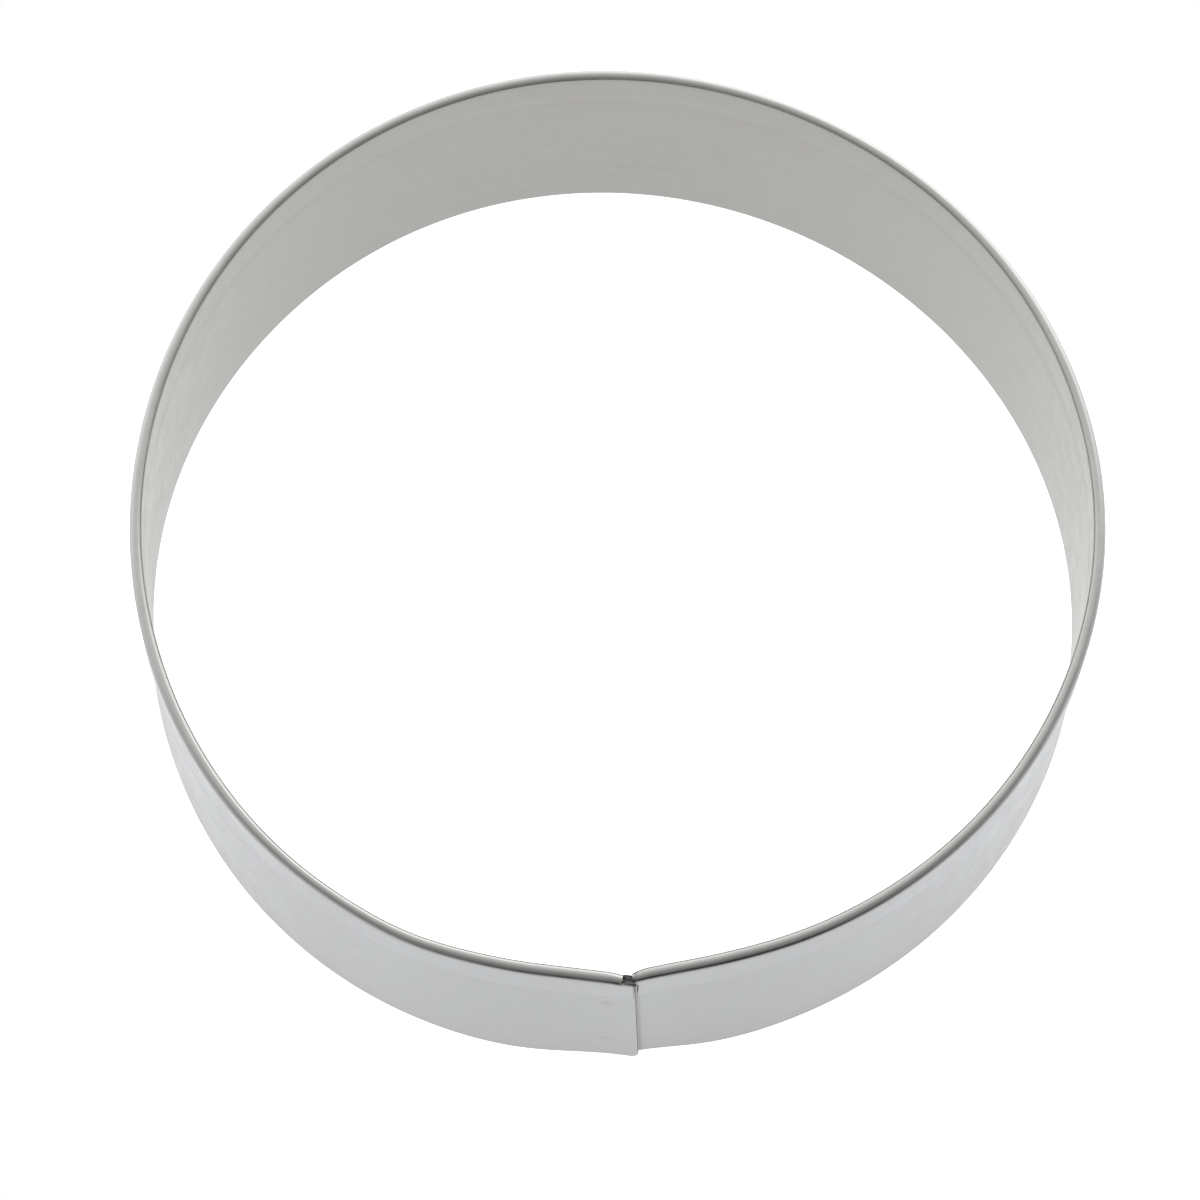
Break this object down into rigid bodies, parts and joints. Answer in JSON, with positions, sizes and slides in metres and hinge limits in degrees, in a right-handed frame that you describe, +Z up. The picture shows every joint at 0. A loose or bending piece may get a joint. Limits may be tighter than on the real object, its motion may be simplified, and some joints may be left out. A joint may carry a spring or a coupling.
{
  "type": "biscuit cutter",
  "caption": "Plain round biscuit cutter: a ring of tinplate with a rim folded outwards into a hem and a lapped, spot-welded seam.",
  "frame": {"origin": "middle of the ring at the level of the cutting edge, where the cutter stands on the dough or the board", "axes": "+Z up, from the cutting edge to the hemmed rim; -Y towards the seam, which faces the viewer in the picture; +X to the right of someone who looks at the seam"},
  "size_m": [0.0908, 0.0915, 0.0254],
  "materials": {
    "tinplate": "bright tin coating, satin, with fine handling marks",
    "weld": "matt, slightly darkened by the weld's heat"
  },
  "bodies": {
    "root": {"cutter_band": "tinplate", "spot_weld_upper": "weld", "spot_weld_lower": "weld"}
  },
  "joints": []
}
